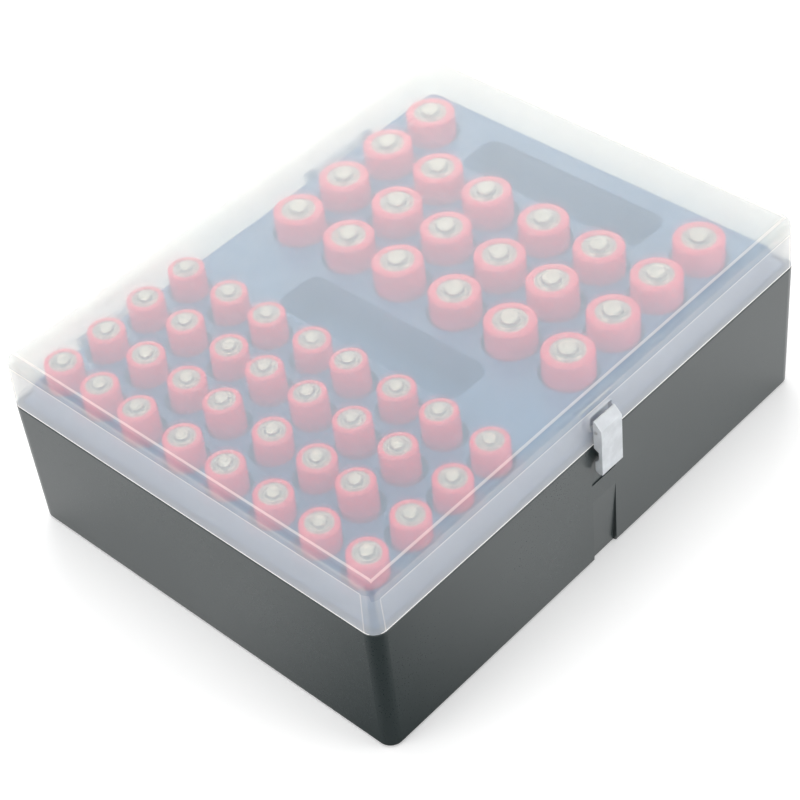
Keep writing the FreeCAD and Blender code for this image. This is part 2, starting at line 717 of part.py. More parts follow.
def latch_tab():
    """The latch tab: sloping top, notch over the catch bead, hook nose and pin bore."""
    body = new_body("latch_tab")
    front = FRONT_Y - D["latch_out"]
    inner = FRONT_Y - D["latch_gap"]
    nose = FRONT_Y - D["nose_gap"]
    notch = FRONT_Y - D["notch_floor"]
    notch_high = RIM - D["notch_top"] - (D["notch_floor"] - D["latch_gap"]) / 2
    notch_low = notch_high - D["notch_height"]
    tip = RIM - D["latch_tip"]
    profile = Outline(
        body, "tab_outline", plane="YZ_Plane", shift=(ZERO, ZERO, -D["latch_width"] / 2)
    )
    profile.polygon(
        (
            (front, tip),
            (nose, tip),
            (nose, notch_low - D["nose_slope"]),
            (notch, notch_low),
            (notch, notch_high),
            (inner, RIM - D["notch_top"]),
            (inner, RIM + D["latch_top"]),
            (front, RIM + D["latch_shoulder"]),
        )
    )
    tab = pad(body, "tab", profile, D["latch_width"])
    nose_edge = round_edges(
        body, "nose_tip", tab, D["latch_round"], lambda e: runs_along_x(e, nose, tip)
    )
    round_edges(
        body,
        "outer_tips",
        nose_edge,
        D["latch_edge"],
        lambda e: runs_along_x(e, front, tip) or runs_along_x(e, inner, RIM + D["latch_top"]),
    )

    slot_reach = D["pivot_boss"] + D["boss_gap"]
    slot = Outline(
        body,
        "slot_outline",
        plane="YZ_Plane",
        shift=(ZERO, ZERO, -D["boss_width"] / 2 - D["side_gap"]),
    )
    slot.box(
        PIVOT_Y - slot_reach,
        FRONT_Y,
        PIVOT_Z - slot_reach,
        PIVOT_Z + slot_reach + D["swing_spare"],
    )
    pocket(body, "boss_slot", slot, D["boss_width"] + D["side_gap"] * 2)
    bore = Outline(body, "tab_bore_outline", plane="YZ_Plane")
    bore.circle(PIVOT_Y, PIVOT_Z, D["pivot_pin_radius"] + D["turn_gap"])
    cut_across(body, "tab_bore", bore, D["latch_width"])
    return body


def runs_along_x(edge, y, z):
    box = edge.BoundBox
    near_y = abs(box.YMin - y.number) < NEAR and abs(box.YMax - y.number) < NEAR
    return near_y and lies_flat_at(edge, z.number)


def pin(name, x, y, z, radius, length):
    """A straight pin along X, centred on x."""
    rod = doc.addObject("Part::Cylinder", name)
    rod.Label = name
    bind(rod, "Radius", radius)
    bind(rod, "Height", length)
    rod.Placement = FreeCAD.Placement(Vector(0, 0, 0), FreeCAD.Rotation(Vector(0, 1, 0), 90))
    bind(rod, "Placement.Base.x", x - length / 2)
    bind(rod, "Placement.Base.y", y)
    bind(rod, "Placement.Base.z", z)
    return rod


def pins():
    span = D["hinge_span"]
    radius = D["hinge_pin_radius"]
    offset = D["hinge_offset"]
    latch_pin_length = D["latch_width"] - D["side_gap"]
    return [
        pin("hinge_pin_left", -offset, HINGE_Y, HINGE_Z, radius, span),
        pin("hinge_pin_right", offset, HINGE_Y, HINGE_Z, radius, span),
        pin("latch_pin", ZERO, PIVOT_Y, PIVOT_Z, D["pivot_pin_radius"], latch_pin_length),
    ]


# ---- cells -------------------------------------------------------------------------------


def turned(points):
    """The solid that a closed run of (radius, height) points makes about the Z axis."""
    corners = [Vector(radius, 0, height) for radius, height in points]
    face = Part.Face(Part.makePolygon(corners + corners[:1]))
    return face.revolve(Vector(0, 0, 0), Vector(0, 0, 1), 360)


def cell_pieces(prefix):
    """The five pieces of one cell, standing on the origin."""
    outer = D[prefix + "_diameter"].number / 2
    top = D[prefix + "_length"].number
    button = D[prefix + "_button"].number / 2
    shoulder = top - D[prefix + "_button_rise"].number
    face = D[prefix + "_face"].number / 2
    sleeve = D["jacket_thick"].number
    wall = D["can_wall"].number
    step = D["can_step"].number
    stand = D["cap_stand"].number
    plate = D["cap_thick"].number
    plug = D["seal_thick"].number
    can = outer - sleeve
    bore = can - wall
    cap = can - D["seal_lip"].number
    lip = cap + D["seal_lip"].number / 2
    ease = D["jacket_round"].number

    jacket = turned(
        (
            (can, stand),
            (outer, stand),
            (outer, shoulder - ease),
            (outer - ease, shoulder),
            (face, shoulder),
            (face, shoulder - sleeve),
            (can - ease, shoulder - sleeve),
            (can, shoulder - sleeve - ease),
        )
    )
    crown = shoulder - sleeve
    inner_face = face - ease
    shell = turned(
        (
            (bore, stand),
            (can, stand),
            (can, crown - ease),
            (can - ease, crown),
            (inner_face, crown),
            (inner_face - step, crown + step),
            (button + step, crown + step),
            (button, crown + step + step),
            (button, top - step),
            (button - step, top),
            (0, top),
            (0, top - wall),
            (button - wall, top - wall),
            (button - wall, crown - wall),
            (bore, crown - wall),
        )
    )
    core_top = crown - wall
    core = turned(((0, stand + plug), (bore, stand + plug), (bore, core_top), (0, core_top)))
    end_plate = turned(((0, 0), (cap, 0), (cap, plate), (0, plate)))
    seal = turned(
        (
            (0, plate),
            (cap, plate),
            (cap, stand - step / 2),
            (lip, stand - step / 2),
            (bore, stand),
            (bore, stand + plug),
            (0, stand + plug),
        )
    )
    return {
        "jackets": jacket,
        "cans": shell,
        "cores": core,
        "seals": seal,
        "end_plates": end_plate,
    }


def cell_stance(block, mark, x, y):
    """Where a cell stands: upright on its well's floor, or leaning within its play."""
    base = Vector(x.number, y.number, block.foot.number)
    if mark == ".":
        return FreeCAD.Placement(base, FreeCAD.Rotation())
    shift = D["cell_play"].number - D["lean_spare"].number
    reach = DECK.number - block.foot.number
    lean = math.atan2(2 * shift, reach)
    way = 1 if mark == "t" else -1
    radius = D[block.prefix + "_diameter"].number / 2
    cap = radius - D["jacket_thick"].number - D["seal_lip"].number
    rotation = FreeCAD.Rotation(Vector(-way, 0, 0), math.degrees(lean))
    moved = base + Vector(0, -way * shift, cap * math.sin(lean))
    return FreeCAD.Placement(moved, rotation)


def cells(block):
    """Every cell of one kind: one node for each kind of piece in each column."""
    pieces = cell_pieces(block.prefix)
    nodes = []
    for column in range(len(block.columns)):
        stances = [cell_stance(block, *well) for well in block.wells(column)]
        for piece, shape in pieces.items():
            name = "%s_%s_%d" % (block.prefix, piece, column + 1)
            node = doc.addObject("Part::Feature", name)
            node.Label = name
            copies = [shape.transformed(stance.toMatrix(), copy=True) for stance in stances]
            node.Shape = Part.makeCompound(copies)
            nodes.append(node)
    return nodes


# ---- build, check and write --------------------------------------------------------------


def build():
    parts = [base_case(), cell_tray(), lid(), latch_tab()]
    parts += pins()
    for block in (AA, AAA):
        parts += cells(block)
    doc.recompute()
    return parts


def check(parts):
    """Stops on anything that failed to build."""
    for item in doc.Objects:
        bad = [state for state in item.State if state in ("Invalid", "Error")]
        if bad:
            raise RuntimeError("%s: %s" % (item.Name, bad))
    for part in parts:
        if part.Shape.isNull() or not part.Shape.isValid():
            raise RuntimeError("%s has no valid shape" % part.Label)


def write(parts):
    os.makedirs("parts", exist_ok=True)
    for part in parts:
        part.Shape.exportStep(os.path.join("parts", part.Label + ".step"))
        print(part.Label, len(part.Shape.Solids), round(part.Shape.Volume, 1))


made = build()
check(made)
write(made)
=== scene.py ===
"""Dresses the battery case: milky lid, satin base, glossy tray and red-jacketed cells."""

import logging
import math
from dataclasses import dataclass
from enum import Enum
from typing import Iterable, Sequence

import bpy
from mathutils import Matrix, Vector


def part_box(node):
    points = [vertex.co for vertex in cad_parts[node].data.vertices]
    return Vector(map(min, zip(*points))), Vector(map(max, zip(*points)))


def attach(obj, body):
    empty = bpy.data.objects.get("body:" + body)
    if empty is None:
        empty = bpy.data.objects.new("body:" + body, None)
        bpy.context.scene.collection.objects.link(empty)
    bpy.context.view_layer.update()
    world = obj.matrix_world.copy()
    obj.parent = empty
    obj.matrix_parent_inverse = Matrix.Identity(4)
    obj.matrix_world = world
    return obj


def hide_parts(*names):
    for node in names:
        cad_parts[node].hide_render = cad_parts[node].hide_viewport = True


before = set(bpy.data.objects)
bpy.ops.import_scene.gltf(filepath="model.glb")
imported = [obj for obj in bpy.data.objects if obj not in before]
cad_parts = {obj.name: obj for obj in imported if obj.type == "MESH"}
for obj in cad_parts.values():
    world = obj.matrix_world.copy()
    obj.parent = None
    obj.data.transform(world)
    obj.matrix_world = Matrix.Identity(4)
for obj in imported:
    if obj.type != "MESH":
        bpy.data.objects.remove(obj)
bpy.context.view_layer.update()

MM = 0.001
PER_METRE = 1000.0
MIDDLE = 0.5  # a noise wavers round this
LOG = logging.getLogger("battery_case")

Colour = tuple[float, float, float]


# ---- shader maths ------------------------------------------------------------------------


class Value:
    """A shader socket that adds Math nodes when it is used in an expression."""

    def __init__(self, shader: "Shader", socket: bpy.types.NodeSocket) -> None:
        """Wraps one output socket of the shader's node tree."""
        self.shader = shader
        self.socket = socket

    def _math(self, operation: str, *operands: object) -> "Value":
        """Adds one Math node and gives its output."""
        inputs = dict(enumerate(operands))
        node = self.shader.node("ShaderNodeMath", {"operation": operation}, inputs)
        return Value(self.shader, node.outputs[0])

    def __add__(self, other: object) -> "Value":
        """self + other."""
        return self._math("ADD", self, other)

    __radd__ = __add__

    def __sub__(self, other: object) -> "Value":
        """self - other."""
        return self._math("SUBTRACT", self, other)

    def __rsub__(self, other: object) -> "Value":
        """other - self."""
        return self._math("SUBTRACT", other, self)

    def __mul__(self, other: object) -> "Value":
        """self * other."""
        return self._math("MULTIPLY", self, other)

    __rmul__ = __mul__

    def __abs__(self) -> "Value":
        """The size of self without its sign."""
        return self._math("ABSOLUTE", self, 0.0)

    def most(self, other: object) -> "Value":
        """The larger of self and other."""
        return self._math("MAXIMUM", self, other)

    def least(self, other: object) -> "Value":
        """The smaller of self and other."""
        return self._math("MINIMUM", self, other)

    def rise(self, low: float, high: float) -> "Value":
        """A smooth step from 0 at low to 1 at high."""
        inputs = {"Value": self, "From Min": low, "From Max": high}
        settings = {"interpolation_type": "SMOOTHSTEP"}
        node = self.shader.node("ShaderNodeMapRange", settings, inputs)
        return Value(self.shader, node.outputs["Result"])

    def band(self, centre: float, half: float, soft: float) -> "Value":
        """A mask that is 1 within half of centre and fades out over soft."""
        return 1.0 - abs(self - centre).rise(half, half + soft)


class Shader:
    """One procedural material while its nodes are put together."""

    def __init__(self, name: str) -> None:
        """Starts a node tree with nothing in it but its output."""
        self.material = bpy.data.materials.new(name)
        self.material.use_nodes = True
        self.tree = self.material.node_tree
        self.tree.nodes.clear()
        self.output = self.tree.nodes.new("ShaderNodeOutputMaterial")

    def node(
        self,
        kind: str,
        settings: dict[str, object] | None = None,
        inputs: dict[str | int, object] | None = None,
    ) -> bpy.types.Node:
        """Adds one node.

        Args:
            kind: the node's type name.
            settings: properties of the node, set before its sockets.
            inputs: values, Value objects or sockets by input name or index.

        Returns:
            The new node.
        """
        node = self.tree.nodes.new(kind)
        for key, setting in (settings or {}).items():
            setattr(node, key, setting)
        for key, given in (inputs or {}).items():
            self.feed(node.inputs[key], given)
        return node

    def feed(self, target: bpy.types.NodeSocket, given: object) -> None:
        """Links or sets one input socket."""
        if isinstance(given, Value):
            given = given.socket
        if isinstance(given, bpy.types.NodeSocket):
            self.tree.links.new(given, target)
        elif isinstance(given, tuple) and target.type == "RGBA":
            target.default_value = (*given, 1.0)
        else:
            target.default_value = given

    def place(self) -> tuple[Value, Value, Value]:
        """The surface point's X, Y and Z in millimetres."""
        coordinates = self.node("ShaderNodeTexCoord").outputs["Object"]
        split = self.node("ShaderNodeSeparateXYZ", None, {0: coordinates})
        x, y, z = (Value(self, split.outputs[axis]) * PER_METRE for axis in "XYZ")
        return x, y, z

    def wrap(self) -> tuple[Value, Value]:
        """The turn and height that a piece's own UV map holds."""
        mapped = self.node("ShaderNodeUVMap").outputs[0]
        split = self.node("ShaderNodeSeparateXYZ", None, {0: mapped})
        return Value(self, split.outputs["X"]), Value(self, split.outputs["Y"])

    def noise(
        self, per_metre: float, detail: float = 2.0, stretch: Sequence[float] = (1, 1, 1)
    ) -> Value:
        """Soft random tones on Object coordinates.

        Args:
            per_metre: how many features there are in a metre.
            detail: how many finer layers are added.
            stretch: factors on X, Y and Z.

        Returns:
            The noise's factor, near 0.5.
        """
        coordinates = self.node("ShaderNodeTexCoord").outputs["Object"]
        mapped = self.node("ShaderNodeMapping", None, {"Vector": coordinates, "Scale": stretch})
        inputs = {"Vector": mapped.outputs[0], "Scale": per_metre, "Detail": detail}
        node = self.node("ShaderNodeTexNoise", None, inputs)
        return Value(self, node.outputs[0])

    def tint(self, mask: Value, plain: object, marked: object) -> bpy.types.NodeSocket:
        """Mixes two colours by a mask."""
        inputs = {"Factor": mask, 6: plain, 7: marked}
        node = self.node("ShaderNodeMix", {"data_type": "RGBA"}, inputs)
        return node.outputs[2]

    def relief(self, height: Value, depth: float) -> bpy.types.NodeSocket:
        """A bump from a height mask, depth in metres."""
        inputs = {"Height": height, "Distance": depth, "Strength": 1.0}
        return self.node("ShaderNodeBump", None, inputs).outputs[0]

    def surface(self, inputs: dict[str | int, object]) -> bpy.types.NodeSocket:
        """Adds a Principled shader with these inputs."""
        return self.node("ShaderNodeBsdfPrincipled", None, inputs).outputs[0]

    def blend(
        self, share: object, first: bpy.types.NodeSocket, second: bpy.types.NodeSocket
    ) -> bpy.types.NodeSocket:
        """Mixes two shaders, with this share of the second."""
        return self.node("ShaderNodeMixShader", None, {0: share, 1: first, 2: second}).outputs[0]

    def close(self, surface: bpy.types.NodeSocket) -> bpy.types.Material:
        """Ends the material with this shader."""
        self.tree.links.new(surface, self.output.inputs["Surface"])
        return self.material

    def principled(self, inputs: dict[str | int, object]) -> bpy.types.Material:
        """Ends the material with one Principled shader."""
        return self.close(self.surface(inputs))


# ---- finishes ----------------------------------------------------------------------------


class Finish:
    """A surface finish that makes its material once."""

    made: dict["Finish", bpy.types.Material] = {}

    def material(self) -> bpy.types.Material:
        """The finish's material, made when it is first asked for."""
        if self not in Finish.made:
            Finish.made[self] = self.mix()
        return Finish.made[self]

    def mix(self) -> bpy.types.Material:
        """Builds the material's nodes."""
        raise NotImplementedError

    def put_on(self, piece: bpy.types.Object) -> None:
        """Makes this the piece's only material."""
        piece.data.materials.clear()
        piece.data.materials.append(self.material())


@dataclass(frozen=True)
class MouldedPlastic(Finish):
    """Opaque injection-moulded plastic with a fine skin."""

    name: str
    colour: Colour
    deep: Colour
    roughness: float
    skin: float
    gloss: float = 0.5
    clouds: float = 14.0
    cloud_edges: tuple[float, float] = (0.35, 0.65)
    cloud_waver: float = 0.08
    grain: float = 2600.0
    grain_waver: float = 0.12

    def mix(self) -> bpy.types.Material:
        """Two close shades in clouds, and a fine skin in roughness and relief."""
        shader = Shader(self.name)
        clouds = shader.noise(self.clouds, 3.0)
        grain = shader.noise(self.grain)
        waver = (grain - MIDDLE) * self.grain_waver + (clouds - MIDDLE) * self.cloud_waver
        return shader.principled(
            {
                "Base Color": shader.tint(clouds.rise(*self.cloud_edges), self.colour, self.deep),
                "Roughness": self.roughness + waver,
                "Specular IOR Level": self.gloss,
                "Normal": shader.relief(grain, self.skin),
            }
        )


@dataclass(frozen=True)
class MilkyPlastic(Finish):
    """Frosted plastic that passes warm light and scatters blue, milkier in its walls, whiter at its
    edges partly by painted highlights.

    Lengths are in millimetres. The light lines along the walls and up the corners and the light
    line round the top are painted highlights in this material, standing in for light caught where
    the flat faces meet the rounded edges; the lid itself is a plain shell. A line is given as half
    its width and the width that it fades over.
    """

    name: str
    haze: float
    wall_haze: float
    colour: Colour
    wall_colour: Colour
    # The pale colour of the lip and of the painted highlight lines.
    edge_and_highlight_colour: Colour
    through: Colour
    roughness: float
    blur: float
    blur_share: float
    index: float
    low: float
    high: float
    half_length: float
    half_width: float
    # The lip: a near-white line at the lower edge, partly the milky cut end of the wall and partly
    # a painted glow of light carried along the wall.
    lip: float
    end_wall: float
    side_wall: float
    panel_start: float
    # Painted highlight: a thin light line round the top, standing in for light caught on the
    # rounded top edge.
    top_highlight: float
    top_highlight_haze: float
    # Painted highlight lines: along each wall under the rounded top edge, and up each side of the
    # rounded corners.
    tangent_highlight_haze: float
    lip_haze: float = 0.97
    lip_fade: float = 1.6
    lip_depth: tuple[float, float] = (0.3, 0.5)
    wall_depth: tuple[float, float] = (2.6, 3.2)
    wall_soft: float = 0.15
    turn_soft: float = 0.3
    # Painted shade: the rounded corners of the walls are less milky, so they read darker, as a
    # shaded curve does.
    corner_share: float = 0.75
    panel_soft: float = 0.2
    wall_highlight_line: tuple[float, float] = (0.1, 0.3)
    corner_highlight_line: tuple[float, float] = (0.08, 0.25)
    top_highlight_line: tuple[float, float] = (0.22, 0.3)
    top_highlight_shift: float = 0.9
    top_edge: tuple[float, float] = (-1.5, -1.1)
    clouds: float = 20.0
    haze_waver: float = 0.03
    blur_waver: float = 0.04
    gloss_waver: float = 0.06
    grain: float = 1500.0
    skin: float = 0.000003

    def masks(self, shader: Shader) -> tuple[Value, Value, Value, Value]:
        """Where the walls, the lip, the painted highlight round the top and the painted highlight
        lines on the walls are, each from 0 to 1.
        """
        x, y, z = shader.place()
        from_end = self.half_length - abs(x)
        from_side = self.half_width - abs(y)
        inset = from_end.least(from_side)
        along = from_end.most(from_side)
        on_side = (from_end - from_side).rise(-self.turn_soft, self.turn_soft)
        wall_top = self.end_wall + on_side * (self.side_wall - self.end_wall)
        below = wall_top - (self.high - z)
        panel = along.rise(self.panel_start - self.panel_soft, self.panel_start + self.panel_soft)
        in_wall = 1.0 - inset.rise(*self.wall_depth)
        wall = (1.0 - below.rise(-self.wall_soft, self.wall_soft)) * in_wall
        # Painted highlights: light lines where the rounded top edge meets the walls and where the
        # rounded corners meet the flat walls.
        tangent_highlights = below.band(0.0, *self.wall_highlight_line) * in_wall * panel
        tangent_highlights = tangent_highlights.most(along.band(self.panel_start, *self.corner_highlight_line) * wall)
        # Painted shade: the rounded corners keep only part of the walls' milkiness, so they read
        # darker.
        wall = wall * (self.corner_share + panel * (1.0 - self.corner_share))
        # Painted highlight: a thin light line round the top, near its rounded edge.
        on_top = (z - self.high).rise(*self.top_edge)
        from_edge = (from_end - self.top_highlight_shift).least(from_side)
        top_highlight = from_edge.band(self.top_highlight, *self.top_highlight_line) * on_top
        # The lip: partly the milky cut end of the wall, partly a painted glow of light carried
        # along the wall.
        lip = 1.0 - (z - self.low).rise(self.lip, self.lip * self.lip_fade)
        lip = lip * (1.0 - inset.rise(*self.lip_depth))
        return wall, lip, top_highlight, tangent_highlights

    def mix(self) -> bpy.types.Material:
        """Frosted and clear on top, milkier down the walls with their rounded corners painted
        clearer as shade, whitest at the lip and the painted highlight lines.
        """
        shader = Shader(self.name)
        wall, lip, top_highlight, tangent_highlights = self.masks(shader)
        waver = shader.noise(self.clouds) - MIDDLE
        veil = self.haze + wall * (self.wall_haze - self.haze) + waver * self.haze_waver
        # Near-white haze at the lip and at the painted highlight lines.
        lip_and_highlight_haze = (lip * self.lip_haze).most(top_highlight * self.top_highlight_haze).most(tangent_highlights * self.tangent_highlight_haze)
        body = shader.tint(wall, self.colour, self.wall_colour)
        pale = shader.tint(lip.most(top_highlight).most(tangent_highlights), body, self.edge_and_highlight_colour)
        sharp = shader.node("ShaderNodeBsdfTransparent", None, {"Color": self.through}).outputs[0]
        wide = shader.surface(
            {
                "Base Color": self.through,
                "Roughness": self.blur + waver * self.blur_waver,
                "IOR": self.index,
                "Transmission Weight": 1.0,
            }
        )
        milk = shader.surface(
            {
                "Base Color": pale,
                "Roughness": self.roughness + waver * self.gloss_waver,
                "Normal": shader.relief(shader.noise(self.grain, 1.0), self.skin),
            }
        )
        frosted = shader.blend(self.blur_share, sharp, wide)
        return shader.close(shader.blend(veil.most(lip_and_highlight_haze), frosted, milk))


@dataclass(frozen=True)
class FrostedTab(Finish):
    """Thicker milky plastic that is nearly opaque."""

    name: str
    colour: Colour
    alpha: float
    roughness: float
    clouds: float = 260.0
    cloud_edges: tuple[float, float] = (0.4, 0.7)
    lift: float = 1.12
    gloss_waver: float = 0.15
    alpha_waver: float = 0.1
    scatter: float = 0.8
    scatter_depth: float = 0.004
    grain: float = 1800.0
    skin: float = 0.00001

    def mix(self) -> bpy.types.Material:
        """Pale plastic with soft clouds and a faint moulded skin."""
        shader = Shader(self.name)
        clouds = shader.noise(self.clouds, 3.0)
        lighter = tuple(min(1.0, part * self.lift) for part in self.colour)
        return shader.principled(
            {
                "Base Color": shader.tint(clouds.rise(*self.cloud_edges), self.colour, lighter),
                "Roughness": self.roughness + (clouds - MIDDLE) * self.gloss_waver,
                "Alpha": self.alpha + (clouds - MIDDLE) * self.alpha_waver,
                "Subsurface Weight": self.scatter,
                "Subsurface Radius": (self.scatter_depth,) * 3,
                "Normal": shader.relief(shader.noise(self.grain), self.skin),
            }
        )


@dataclass(frozen=True)
class ShrinkSleeve(Finish):
    """Glossy red shrink sleeve with a small pale plus sign near its top."""

    name: str
    colour: Colour
    deep: Colour
    mark: Colour
    around: float
    length: float
    mark_drop: float
    mark_size: float
    mark_edge: float = 0.1
    mark_share: float = 0.85
    strokes: float = 9.0
    folds: float = 420.0
    fold_stretch: tuple[float, float, float] = (1.0, 1.0, 0.25)
    fold_edges: tuple[float, float] = (0.45, 0.75)
    fold_depth: float = 0.00004
    roughness: float = 0.24
    gloss_waver: float = 0.2
    coat: float = 0.25
    coat_roughness: float = 0.12

    def bar(self, long_way: Value, short_way: Value) -> Value:
        """One bar of the plus sign."""
        half = self.mark_size / 2
        stroke = self.mark_size / self.strokes
        in_length = 1.0 - long_way.rise(half, half + self.mark_edge)
        return in_length * (1.0 - short_way.rise(stroke, stroke + self.mark_edge))

    def mix(self) -> bpy.types.Material:
        """Red film, a little deeper in its shrink folds, with a printed plus sign."""
        shader = Shader(self.name)
        turn, height = shader.wrap()
        across = abs(turn - 0.5) * self.around
        along = abs(height * self.length - (self.length - self.mark_drop))
        plus = self.bar(across, along).most(self.bar(along, across))
        folds = shader.noise(self.folds, 3.0, self.fold_stretch)
        film = shader.tint(folds.rise(*self.fold_edges), self.colour, self.deep)
        return shader.principled(
            {
                "Base Color": shader.tint(plus * self.mark_share, film, self.mark),
                "Roughness": self.roughness + (folds - MIDDLE) * self.gloss_waver,
                "Coat Weight": self.coat,
                "Coat Roughness": self.coat_roughness,
                "Normal": shader.relief(folds, self.fold_depth),
            }
        )


@dataclass(frozen=True)
class BareMetal(Finish):
    """Plated or drawn metal with a fine grain."""

    name: str
    colour: Colour
    roughness: float
    grain: float = 900.0
    grain_edges: tuple[float, float] = (0.5, 0.8)
    gloss_waver: float = 0.12
    shade: float = 0.82
    skin: float = 0.000005

    def mix(self) -> bpy.types.Material:
        """A metal whose shine wavers a little."""
        shader = Shader(self.name)
        grain = shader.noise(self.grain, 4.0)
        darker = tuple(part * self.shade for part in self.colour)
        return shader.principled(
            {
                "Base Color": shader.tint(grain.rise(*self.grain_edges), self.colour, darker),
                "Metallic": 1.0,
                "Roughness": self.roughness + (grain - MIDDLE) * self.gloss_waver,
                "Normal": shader.relief(grain, self.skin),
            }
        )


_, LID_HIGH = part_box("lid")
LID_BASE = 43.15  # the lid's lower edge in mm; its knuckles hang lower
LID_HALF_WIDTH = 66.5  # in mm, without the knuckles and the latch boss

CASE_PLASTIC = MouldedPlastic(
    "case_charcoal", (0.032, 0.043, 0.044), (0.028, 0.038, 0.039), 0.3, 0.000002
)
TRAY_PLASTIC = MouldedPlastic(
    "tray_navy", (0.10, 0.185, 0.36), (0.09, 0.17, 0.335), 0.22, 0.000002, gloss=0.3
)
SEAL_PLASTIC = MouldedPlastic("seal_nylon", (0.10, 0.10, 0.11), (0.08, 0.08, 0.09), 0.5, 0.00001)
CORE_POWDER = MouldedPlastic("core_powder", (0.06, 0.06, 0.06), (0.04, 0.04, 0.04), 0.8, 0.00003)
LID_PLASTIC = MilkyPlastic(
    name="lid_milky",
    haze=0.19,
    wall_haze=0.32,
    colour=(0.66, 0.82, 1.0),
    wall_colour=(0.81, 0.87, 0.98),
    edge_and_highlight_colour=(0.97, 0.96, 0.96),
    through=(1.0, 0.98, 0.925),
    roughness=0.25,
    blur=0.34,
    blur_share=0.14,
    index=1.3,
    low=LID_BASE,
    high=LID_HIGH.z * PER_METRE,
    half_length=LID_HIGH.x * PER_METRE,
    half_width=LID_HALF_WIDTH,
    lip=0.24,
    end_wall=3.1,
    side_wall=5.2,
    panel_start=3.7,
    top_highlight=2.5,
    top_highlight_haze=0.42,
    tangent_highlight_haze=0.5,
)
LATCH_PLASTIC = FrostedTab("latch_frosted", (0.67, 0.70, 0.73), 0.86, 0.34)
NICKEL = BareMetal("cell_nickel", (0.44, 0.415, 0.37), 0.34)
WIRE = BareMetal("pin_wire", (0.62, 0.62, 0.62), 0.34)
RED, DEEP_RED = (0.82, 0.04, 0.085), (0.76, 0.025, 0.065)


# ---- bench work --------------------------------------------------------------------------


class Mode(Enum):
    """The two modes that pieces are worked in."""

    OBJECT = "OBJECT"
    EDIT = "EDIT"


class Bench:
    """Short helpers round the mesh operators."""

    @staticmethod
    def mode(wanted: Mode) -> None:
        """Switches the active object's mode."""
        bpy.ops.object.mode_set(mode=wanted.value)

    @staticmethod
    def pick(*pieces: bpy.types.Object) -> None:
        """Selects only these pieces, the first of them active."""
        bpy.ops.object.select_all(action="DESELECT")
        for piece in pieces:
            piece.select_set(True)
        if pieces:
            bpy.context.view_layer.objects.active = pieces[0]

    @staticmethod
    def turned(name: str, profile: Sequence[tuple[float, float]], sides: int) -> bpy.types.Object:
        """Extrudes a ring along a profile, as on a lathe.

        Args:
            name: the piece's name.
            profile: (radius, height) pairs in millimetres; a last radius of 0 closes a pole,
                and a last pair equal to the first closes a hollow ring.
            sides: how many sides the ring has.

        Returns:
            The new object, standing on the origin.
        """
        Bench.pick()
        radius, height = profile[0]
        where = (0.0, 0.0, height * MM)
        bpy.ops.mesh.primitive_circle_add(vertices=sides, radius=radius * MM, location=where)
        piece = bpy.context.active_object
        piece.name = name
        bpy.ops.object.transform_apply(location=True, rotation=True, scale=True)
        Bench.mode(Mode.EDIT)
        bpy.ops.mesh.select_all(action="SELECT")
        for next_radius, next_height in profile[1:]:
            step = {"value": (0.0, 0.0, (next_height - height) * MM)}
            bpy.ops.mesh.extrude_region_move(TRANSFORM_OT_translate=step)
            if next_radius == 0.0:
                bpy.ops.mesh.merge(type="CENTER")
            elif next_radius != radius:
                share = next_radius / radius
                bpy.ops.transform.resize(value=(share, share, 1.0), center_override=(0.0, 0.0, 0.0))
            radius, height = next_radius, next_height
        bpy.ops.mesh.select_all(action="SELECT")
        bpy.ops.mesh.remove_doubles(threshold=0.002 * MM)
        bpy.ops.mesh.normals_make_consistent(inside=False)
        Bench.mode(Mode.OBJECT)
        return piece

    @staticmethod
    def soften(piece: bpy.types.Object, degrees: float) -> None:
        """Shades smooth wherever faces meet at less than the angle."""
        Bench.pick(piece)
        bpy.ops.object.shade_smooth_by_angle(angle=math.radians(degrees))

    @staticmethod
    def copied(master: bpy.types.Object, places: Iterable[Matrix]) -> list[bpy.types.Object]:
        """Copies a master to each place, each copy with its own mesh."""
        copies = []
        for place in places:
            copy = master.copy()
            copy.data = master.data.copy()
            copy.data.transform(place)
            bpy.context.scene.collection.objects.link(copy)
            copies.append(copy)
        return copies

    @staticmethod
    def joined(name: str, pieces: Sequence[bpy.types.Object]) -> bpy.types.Object:
        """Joins pieces into the first of them and names it."""
        Bench.pick(*pieces)
        if len(pieces) > 1:
            bpy.ops.object.join()
        pieces[0].name = name
        return pieces[0]

    @staticmethod
    def scrap(piece: bpy.types.Object) -> None:
        """Removes a master that was only copied from."""
        bpy.data.objects.remove(piece)


# ---- cells -------------------------------------------------------------------------------


@dataclass(frozen=True)
class Stance:
    """How one cell stands: the centre of its foot and the way that its axis points."""

    foot: Vector
    axis: Vector

    @staticmethod
    def through(points: Sequence[Vector], stand: float) -> "Stance":
        """Finds the axis of one sleeve from its points.

        Args:
            points: the sleeve's corner points.
            stand: how far the sleeve's lower edge is above the cell's foot, in metres.

        Returns:
            The cell's stance.
        """
        heights = [point.z for point in points]
        middle = (min(heights) + max(heights)) / 2
        low = Stance.centre([point for point in points if point.z < middle])
        high = Stance.centre([point for point in points if point.z >= middle])
        axis = (high - low).normalized()
        return Stance(low - axis * stand, axis)

    @staticmethod
    def centre(points: Sequence[Vector]) -> Vector:
        """The centre of the box round some points."""
        ends = [(min(p[i] for p in points), max(p[i] for p in points)) for i in range(3)]
        return Vector([(low + high) / 2 for low, high in ends])

    def matrix(self, turn: float) -> Matrix:
        """Places an upright master here, turned about its own axis."""
        lean = Vector((0.0, 0.0, 1.0)).rotation_difference(self.axis).to_matrix().to_4x4()
        return Matrix.Translation(self.foot) @ lean @ Matrix.Rotation(turn, 4, "Z")


